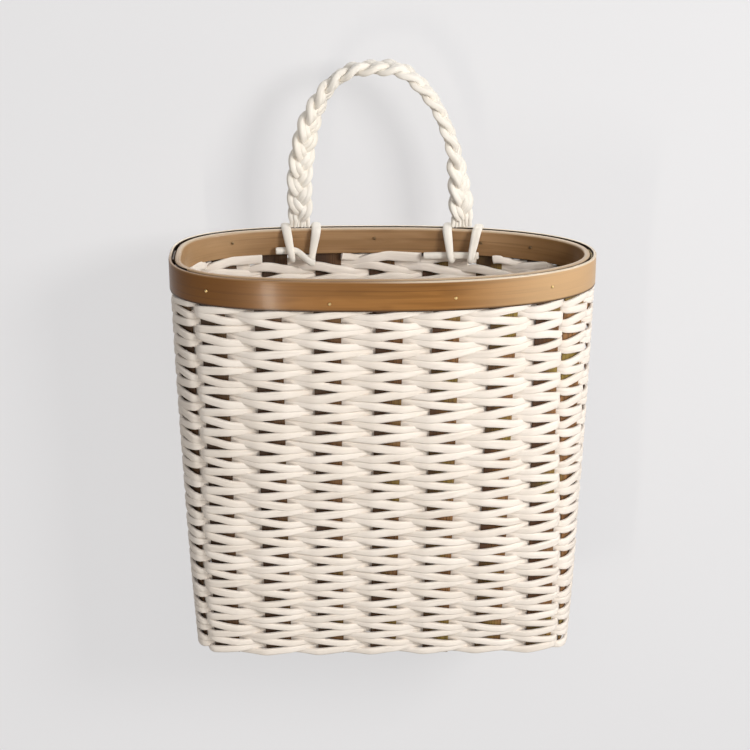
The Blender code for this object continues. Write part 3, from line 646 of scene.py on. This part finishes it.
def rim_band(name, material, inside, outside, bottom, start, lap, radii, node):
    """A hoop bent from one strip, whose two ends slide past each other in a long sloping lap."""
    piece = Piece(name, material, "basket", "hoop_bamboo", (node,))
    slope = outside - inside - 2 * LAP_TIP - LAP_CRACK
    turns = np.concatenate([
        np.linspace(start, start + lap, LAP_STATIONS, endpoint=False),
        np.linspace(start + lap, start + 4, HOOP_STATIONS, endpoint=False),
        np.linspace(start + 4, start + 4 + lap, LAP_STATIONS),
    ])
    middle, out = round_wall(turns, BODY_HEIGHT)
    run = runs_of(middle)
    sections, grain = [], []
    for i, turn in enumerate(turns):
        low, high, cut = inside, outside, None
        if turn < start + lap:
            high, cut = inside + LAP_TIP + slope * (turn - start) / lap, "outside"
        elif turn >= start + 4:
            low, cut = inside + LAP_TIP + LAP_CRACK + slope * (turn - start - 4) / lap, "inside"
        profile = np.array(band_profile(low, high, bottom, radii, cut))
        flat = middle[i] + out[i] * profile[:, :1]
        sections.append(np.column_stack([flat, profile[:, 1]]))
        grain.append(np.column_stack([np.full(len(profile), run[i]), profile[:, 1], profile[:, 0]]))
    piece.add(np.array(sections), np.array(grain))
    piece.make(sharp=40)


# Cords of the handle

HANDLE_RISE = 0.1195
HANDLE_LEAN = 0.004
FOOT_ARC = 0.05998
HINGE_HEIGHT = 0.307
HINGE_DEPTH = (INNER_HOOP_INSIDE + INNER_HOOP_OUTSIDE) / 2
# How far across and how far up the handle's middle line goes
HANDLE_ROUTE_SHARES = (
    (-1.0, 0.0), (-0.99, 0.12), (-0.96, 0.333), (-0.91, 0.50), (-0.845, 0.64), (-0.75, 0.765),
    (-0.60, 0.885), (-0.34, 0.985), (0.0, 1.005), (0.27, 0.99), (0.49, 0.905), (0.68, 0.785),
    (0.825, 0.63), (0.925, 0.48), (0.985, 0.27), (1.0, 0.12), (1.0, 0.0),
)
HANDLE_STATIONS = 300
HANDLE_SWAY = 0.0028
FOOT_SWAY_SHARE = 0.3
SWAY_RISE_SHARE = 0.4
# Where the quarter turn of each arm starts and ends, along the line from that arm's foot
LEFT_TWIST_SHARES = (0.03, 0.50)
RIGHT_TWIST_SHARES = (-0.05, 0.26)
BRAID_FOOT_HALF_WIDTH = 0.0058
BRAID_HALF_WIDTH = 0.0051
BRAID_HALF_THICKNESS = 0.0024
BRAID_TURNS = 7
FOOT_RUN = 0.0065
FILLING_RUN = 0.016
BRAID_START_SHARE = 0.75
# At the feet, and along the filled braid
BRAID_CORD_SPREADS = (0.00130, 0.00190)
BRAID_CORD_HALF_WIDTHS = (0.00130, 0.00260)
BRAID_CORD_HALF_THICKNESSES = (0.0018, 0.0026)
BRAID_CORD_SIDES = 14
BRAID_CORD_SQUARENESS = 3.0
BRAID_GRAIN_RADIUS = 0.0019
WANDER = 0.00022
WANDER_RATE = 190
WIDTH_CHANGE = 0.05
WIDTH_CHANGE_RATE = 130


def smooth_route(points, count):
    """Evenly spaced points along a smooth curve through the route's own points."""
    points = np.array(points, float)
    ends = np.vstack([2 * points[0] - points[1], points, 2 * points[-1] - points[-2]])
    fine = []
    for a, b, c, d in zip(ends, ends[1:], ends[2:], ends[3:]):
        for share in np.linspace(0, 1, 24, endpoint=False):
            bend = (2 * a - 5 * b + 4 * c - d) * share**2 + (3 * b - a - 3 * c + d) * share**3
            fine.append(b + 0.5 * ((c - a) * share + bend))
    fine = np.array([*fine, points[-1]])
    run = runs_of(fine)
    places = np.linspace(0, run[-1], count)
    return np.column_stack([np.interp(places, run, fine[:, axis]) for axis in range(3)])


def handle_line():
    """The handle's middle line, and its width and thickness directions, turning edge-on at the crown."""
    left, right = [back_point(side * FOOT_ARC, HINGE_DEPTH, BODY_HEIGHT) for side in (-1, 1)]
    route = []
    for across, up in HANDLE_ROUTE_SHARES:
        back = (left[1] + right[1]) / 2 - HANDLE_LEAN * up**2
        aside = HANDLE_SWAY * mix(FOOT_SWAY_SHARE, 1, float(ease(up / SWAY_RISE_SHARE)))
        sideways = mix(left[0], right[0], (across + 1) / 2) - aside
        route.append((sideways, back, HINGE_HEIGHT + up * HANDLE_RISE))
    path = smooth_route(route, HANDLE_STATIONS)
    share = np.linspace(0, 1, HANDLE_STATIONS)
    rise = ease((share - LEFT_TWIST_SHARES[0]) / (LEFT_TWIST_SHARES[1] - LEFT_TWIST_SHARES[0]))
    fall = ease((1 - share - RIGHT_TWIST_SHARES[0]) / (RIGHT_TWIST_SHARES[1] - RIGHT_TWIST_SHARES[0]))
    twist = (math.pi / 2 * np.where(share < 0.5, rise, 2 - fall))[:, None]
    tangents, back, _ = directions(path, np.array([0.0, 1.0, 0.0]))
    level = np.cross(back, tangents)
    wide = level * np.cos(twist) + back * np.sin(twist)
    return path, wide, np.cross(tangents, wide)


def braided_handle(material):
    """Three strands of two flat cords each, passing over and under each other."""
    path, wide, thick = handle_line()
    run = runs_of(path)
    free = np.minimum(run, run[-1] - run)
    loose = ease(free / FOOT_RUN)
    filled = ease(free / FILLING_RUN)
    start = FOOT_RUN * BRAID_START_SHARE
    braided = np.clip((run - start) / (run[-1] - 2 * start), 0, 1)
    chance = np.random.default_rng(5)
    for strand in range(3):
        number = strand + 1
        node = f"handle_strand_{number}"
        piece = Piece(f"braid_strand_{number}", material, "handle", "handle_cord", (node,))
        angle = 2 * math.pi * BRAID_TURNS * braided + 2 * math.pi * strand / 3
        sideways = mix(BRAID_FOOT_HALF_WIDTH, BRAID_HALF_WIDTH, loose) * np.sin(angle)
        over = -BRAID_HALF_THICKNESS * np.sin(2 * angle) * mix(loose, filled, 0.6)
        middle = path + wide * sideways[:, None] + thick * over[:, None]
        own, _, _ = directions(middle, wide)
        across = np.cross(thick, own)
        across /= np.linalg.norm(across, axis=1, keepdims=True)
        up = np.cross(own, across)
        spread = mix(*BRAID_CORD_SPREADS, filled)
        half_thickness = mix(*BRAID_CORD_HALF_THICKNESSES, filled)
        for cord, side in enumerate((-1, 1)):
            wander = WANDER * np.sin(run * WANDER_RATE + chance.uniform(0, 6)) * loose
            line = middle + across * (side * spread)[:, None] + up * wander[:, None]
            change = 1 + WIDTH_CHANGE * np.sin(run * WIDTH_CHANGE_RATE + chance.uniform(0, 6))
            half_width = mix(*BRAID_CORD_HALF_WIDTHS, filled) * change
            sections = cord_sections(
                line, across, up, half_width, half_thickness, BRAID_CORD_SIDES, BRAID_CORD_SQUARENESS
            )
            grain = cord_grain(line, BRAID_CORD_SIDES, BRAID_GRAIN_RADIUS, 200 + strand * 2 + cord)
            piece.add(*blunt_ends(sections, grain, line))
        piece.make(sharp=60)


# Lashings and their locking cords

LASHING_RADIUS = 0.0025
LASHING_TOP_SPREAD = 0.0112
LASHING_FOOT_SPREAD = 0.0067
LASHING_HOLE = 0.2795
LASHING_EYE = 0.2825
LASHING_TOP = 0.3056
LASHING_HALF_WIDTHS = (0.0023, 0.0034)
LASHING_HALF_THICKNESS = 0.0018
LASHING_SQUARENESS = 2.3
# The height where a lashing starts to widen, and how far above that it has its full width
LASHING_WIDENING = (0.281, 0.024)
LASHING_STATIONS = 140
CROSSED_BOW = -0.0092
LOCK_RADIUS = 0.0024
LOCK_HEIGHT = 0.2865
LOCK_DEPTH = -0.0077
LOCK_HALF_WIDTH = 0.0026
LOCK_HALF_THICKNESS = 0.0021
LOCK_SQUARENESS = 2.4
LOCK_ROUTE_POINTS = 12
LOCK_STATIONS = 40
# Where along the left lock a bend starts, how long the bend is, and how far it goes
LEFT_LOCK_INWARDS = (-0.0045, 0.0120, 0.0062)
LEFT_LOCK_FALL = (-0.0075, 0.0165, 0.0080)
LEFT_LOCK_RISE = 0.0036
FLAT_CORD_SIDES = 16
# Each foot's name, its arc from the middle, its locking cord's slope, and how far that reaches each way
FEET = (
    ("left", -FOOT_ARC, -0.30, (-0.0192, 0.0090)),
    ("right", FOOT_ARC, 0.04, (-0.0282, 0.0126)),
)


def lashing_route(middle, side, lock, bowed):
    """Up the back, over the rim, down inside past the locking cord, and out through the wall."""
    skin = LASHING_RADIUS + CLEARANCE
    inside = INNER_HOOP_INSIDE - skin
    outside = FACE + skin
    route = (
        (outside, mix(LASHING_HOLE, LASHING_TOP, 0.5)),
        (outside, LASHING_TOP - 3 * LASHING_RADIUS),
        (outside, LASHING_TOP - LASHING_RADIUS),
        (mix(inside, outside, 0.85), LASHING_TOP),
        (mix(inside, outside, 0.5), LASHING_TOP),
        (mix(inside, outside, 0.15), LASHING_TOP),
        (inside - LASHING_RADIUS / 3, LASHING_TOP - LASHING_RADIUS),
        (mix(inside, bowed, 0.5), mix(LASHING_TOP, lock, 0.5)),
        (bowed, lock + LOCK_RADIUS / 2),
        (mix(bowed, LOCK_DEPTH, 0.25), mix(lock, LASHING_EYE, 0.75)),
        (-FACE, LASHING_EYE),
        (FACE, LASHING_HOLE),
        (outside + LASHING_RADIUS / 3, LASHING_HOLE + LASHING_RADIUS),
        (outside, LASHING_HOLE + 3 * LASHING_RADIUS),
        (outside, mix(LASHING_HOLE, LASHING_TOP, 0.5)),
    )
    points = []
    for depth, height in route:
        share = (height - LASHING_HOLE) / (LASHING_TOP - LASHING_HOLE)
        arc = middle + side * mix(LASHING_FOOT_SPREAD, LASHING_TOP_SPREAD, share)
        points.append(back_point(arc, depth, height))
    return smooth_route(points, LASHING_STATIONS)


def lashings(material):
    """At each foot two rings of cord round the rim, and the short cord pushed through behind them."""
    for number, (foot, middle, slope, reaches) in enumerate(FEET):
        for side in (-1, 1):
            label = "outer" if side * middle > 0 else "inner"
            name = f"{foot}_lashing_{label}"
            crossed = name == "left_lashing_inner"
            bowed = CROSSED_BOW if crossed else LOCK_DEPTH - LOCK_RADIUS - LASHING_RADIUS - CLEARANCE
            path = lashing_route(middle, side, LOCK_HEIGHT + slope * side * LASHING_FOOT_SPREAD, bowed)
            _, across, up = directions(path, np.array([1.0, 0.0, 0.0]), closed=True)
            low, rise = LASHING_WIDENING
            half_width = mix(*LASHING_HALF_WIDTHS, ease((path[:, 2] - low) / rise))
            piece = Piece(name + "_cord", material, "basket", "lashing_cord", (name,))
            sections = cord_sections(
                path, across, up, half_width, LASHING_HALF_THICKNESS, FLAT_CORD_SIDES, LASHING_SQUARENESS
            )
            grain = cord_grain(path, FLAT_CORD_SIDES, GRAIN_RADIUS, 300 + number * 2 + side)
            piece.add(sections, grain, ends=False)
            piece.make(sharp=70)
        reach = np.linspace(*reaches, LOCK_ROUTE_POINTS)
        depths = np.full(LOCK_ROUTE_POINTS, LOCK_DEPTH)
        climb = slope * reach
        if foot == "left":
            start, run, inwards = LEFT_LOCK_INWARDS
            depths = LOCK_DEPTH - inwards * ease((reach - start) / run)
            start, run, fall = LEFT_LOCK_FALL
            climb = LEFT_LOCK_RISE - fall * ease((reach - start) / run)
        path = np.array([back_point(middle + arc, depth, BODY_HEIGHT) for arc, depth in zip(reach, depths)])
        path[:, 2] = LOCK_HEIGHT + climb
        path = smooth_route(path, LOCK_STATIONS)
        _, across, up = directions(path, np.array([0.0, 0.0, 1.0]))
        sections = cord_sections(
            path, across, up, LOCK_HALF_WIDTH, LOCK_HALF_THICKNESS, FLAT_CORD_SIDES, LOCK_SQUARENESS
        )
        grain = cord_grain(path, FLAT_CORD_SIDES, GRAIN_RADIUS, 320 + number)
        name = f"{foot}_locking_cord"
        piece = Piece(name + "_cut", material, "basket", "lashing_cord", (name,))
        piece.add(*blunt_ends(sections, grain, path))
        piece.make(sharp=50)


# Colours: a cord's pale, warm and painted crease-shade colours, a bamboo's tan and brown, a metal's dull
# and bright

WALL_CORD = ((0.86, 0.785, 0.705), (0.81, 0.73, 0.645), (0.60, 0.52, 0.44))
HANDLE_CORD = ((0.86, 0.815, 0.74), (0.83, 0.775, 0.69), (0.66, 0.60, 0.51))
OUTER_BAMBOO = ((0.31, 0.135, 0.030), (0.155, 0.058, 0.006))
INNER_BAMBOO = ((0.36, 0.21, 0.10), (0.22, 0.115, 0.046))
FRONT_TACKS = ((0.45, 0.31, 0.13), (0.78, 0.58, 0.27))
BACK_TACKS = ((0.16, 0.11, 0.06), (0.34, 0.24, 0.13))
SLAT_CLOSE_LINES = 1700.0
SLAT_LONG_LINES = 25.0


# Studio

CAMERA_PLACE = (-0.0171, -1.3663, 0.7696)
CAMERA_DOWN = 22.26
CAMERA_RIGHT = 0.48
CAMERA_LENS = 96.77
WALL_Y = 0.098
FLOOR_Z = -0.30
FAR = 4.0
PAINT = (0.24, 0.24, 0.243)
SHOWN_WALL = (0.556, 0.549, 0.552)
SHOWN_FLOOR = (0.545, 0.54, 0.543)
# Each lamp's name, place, target, size, power and colour
LAMPS = (
    ("key", (0.88, -0.97, 0.82), (0.05, 0, 0.24), (0.40, 0.40), 13.7, (1.0, 0.985, 0.965)),
    ("fill", (0.1, -2.2, 1.5), (0, 0, 0.2), (1.8, 1.4), 6.5, (0.98, 0.99, 1.0)),
    ("side", (1.5, -0.30, 0.50), (0.1, 0, 0.25), (0.5, 0.8), 5.0, (1.0, 0.99, 0.98)),
    ("strip", (-0.37, -1.0, -0.07), (-0.08, 0, 0.294), (0.045, 0.36), 2.5, (1.0, 0.94, 0.84)),
    ("back", (-0.3, 1.6, 1.3), (0, 0, 0.2), (1.4, 1.0), 26, (1.0, 1.0, 1.0)),
)
SKY = (0.97, 0.975, 1.0)
SKY_STRENGTH = 0.42


def camera():
    data = bpy.data.cameras.new("camera")
    data.sensor_width = 36.0
    data.lens = CAMERA_LENS
    data.clip_start, data.clip_end = 0.05, 50.0
    made = bpy.data.objects.new("camera", data)
    made.location = CAMERA_PLACE
    made.rotation_euler = (math.radians(90 - CAMERA_DOWN), 0.0, math.radians(-CAMERA_RIGHT))
    bpy.context.scene.collection.objects.link(made)
    bpy.context.scene.camera = made


def area_light(name, place, target, size, power, colour):
    data = bpy.data.lights.new(name, "AREA")
    data.shape = "RECTANGLE"
    data.size, data.size_y = size
    data.energy = power
    data.color = colour
    made = bpy.data.objects.new(name, data)
    made.location = place
    made.rotation_euler = (Vector(target) - Vector(place)).to_track_quat("-Z", "Y").to_euler()
    bpy.context.scene.collection.objects.link(made)


def flat_sheet(name, corners, material):
    mesh = bpy.data.meshes.new(name)
    mesh.from_pydata(corners, [], [tuple(range(len(corners)))])
    mesh.materials.append(material)
    made = bpy.data.objects.new(name, mesh)
    bpy.context.scene.collection.objects.link(made)


def studio():
    wall = studio_paint("wall_paint", PAINT, SHOWN_WALL)
    floor = studio_paint("floor_paint", PAINT, SHOWN_FLOOR)
    upright = ((-FAR, FLOOR_Z), (FAR, FLOOR_Z), (FAR, FAR), (-FAR, FAR))
    wall_corners = [(x, WALL_Y, z) for x, z in upright]
    level = ((-FAR, -FAR), (FAR, -FAR), (FAR, FAR), (-FAR, FAR))
    floor_corners = [(x, y, FLOOR_Z) for x, y in level]
    flat_sheet("studio_wall", wall_corners, wall)
    flat_sheet("studio_floor", floor_corners, floor)
    for lamp in LAMPS:
        area_light(*lamp)
    world = bpy.data.worlds.new("studio")
    world.use_nodes = True
    bpy.context.scene.world = world
    shade = world.node_tree.nodes["Background"]
    shade.inputs["Color"].default_value = (*SKY, 1.0)
    shade.inputs["Strength"].default_value = SKY_STRENGTH
    bpy.context.scene.view_settings.view_transform = "Standard"


def dress_slats_and_tacks():
    """Puts procedural materials on the slats and tacks, which stay the part's own solids."""
    long = slat_bamboo("long_slat_bamboo", (SLAT_LONG_LINES, SLAT_CLOSE_LINES, SLAT_LONG_LINES))
    front_metal = tack_metal("front_tack_metal", *FRONT_TACKS)
    back_metal = tack_metal("back_tack_metal", *BACK_TACKS)
    for name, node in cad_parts.items():
        if name.startswith("long"):
            node.data.materials[0] = long
        if name.startswith("cross"):
            scales = (SLAT_CLOSE_LINES, SLAT_LONG_LINES, SLAT_LONG_LINES)
            node.data.materials[0] = slat_bamboo(name + "_bamboo", scales, int(name[-1]) - 4)
        if "tack" in name:
            node.data.materials[0] = front_metal if name.startswith("front") else back_metal


def main():
    camera()
    wall_cord = paper_cord("wall_paper_cord", *WALL_CORD)
    handle_cord = paper_cord("handle_paper_cord", *HANDLE_CORD)
    outer = hoop_bamboo("outer_hoop_bamboo", *OUTER_BAMBOO, False)
    inner = hoop_bamboo("inner_hoop_bamboo", *INNER_BAMBOO, True)
    dress_slats_and_tacks()
    twined_wall(wall_cord)
    rim_band(
        "outer_band", outer, OUTER_HOOP_INSIDE, FACE, HOOP_BOTTOM, *OUTER_LAP, OUTER_RADII, "outer_hoop"
    )
    rim_band(
        "inner_band", inner, INNER_HOOP_INSIDE, INNER_HOOP_OUTSIDE, HOOP_BOTTOM + INNER_BAND_LIFT,
        *INNER_LAP, INNER_RADII, "inner_hoop",
    )
    braided_handle(handle_cord)
    lashings(handle_cord)
    studio()


main()
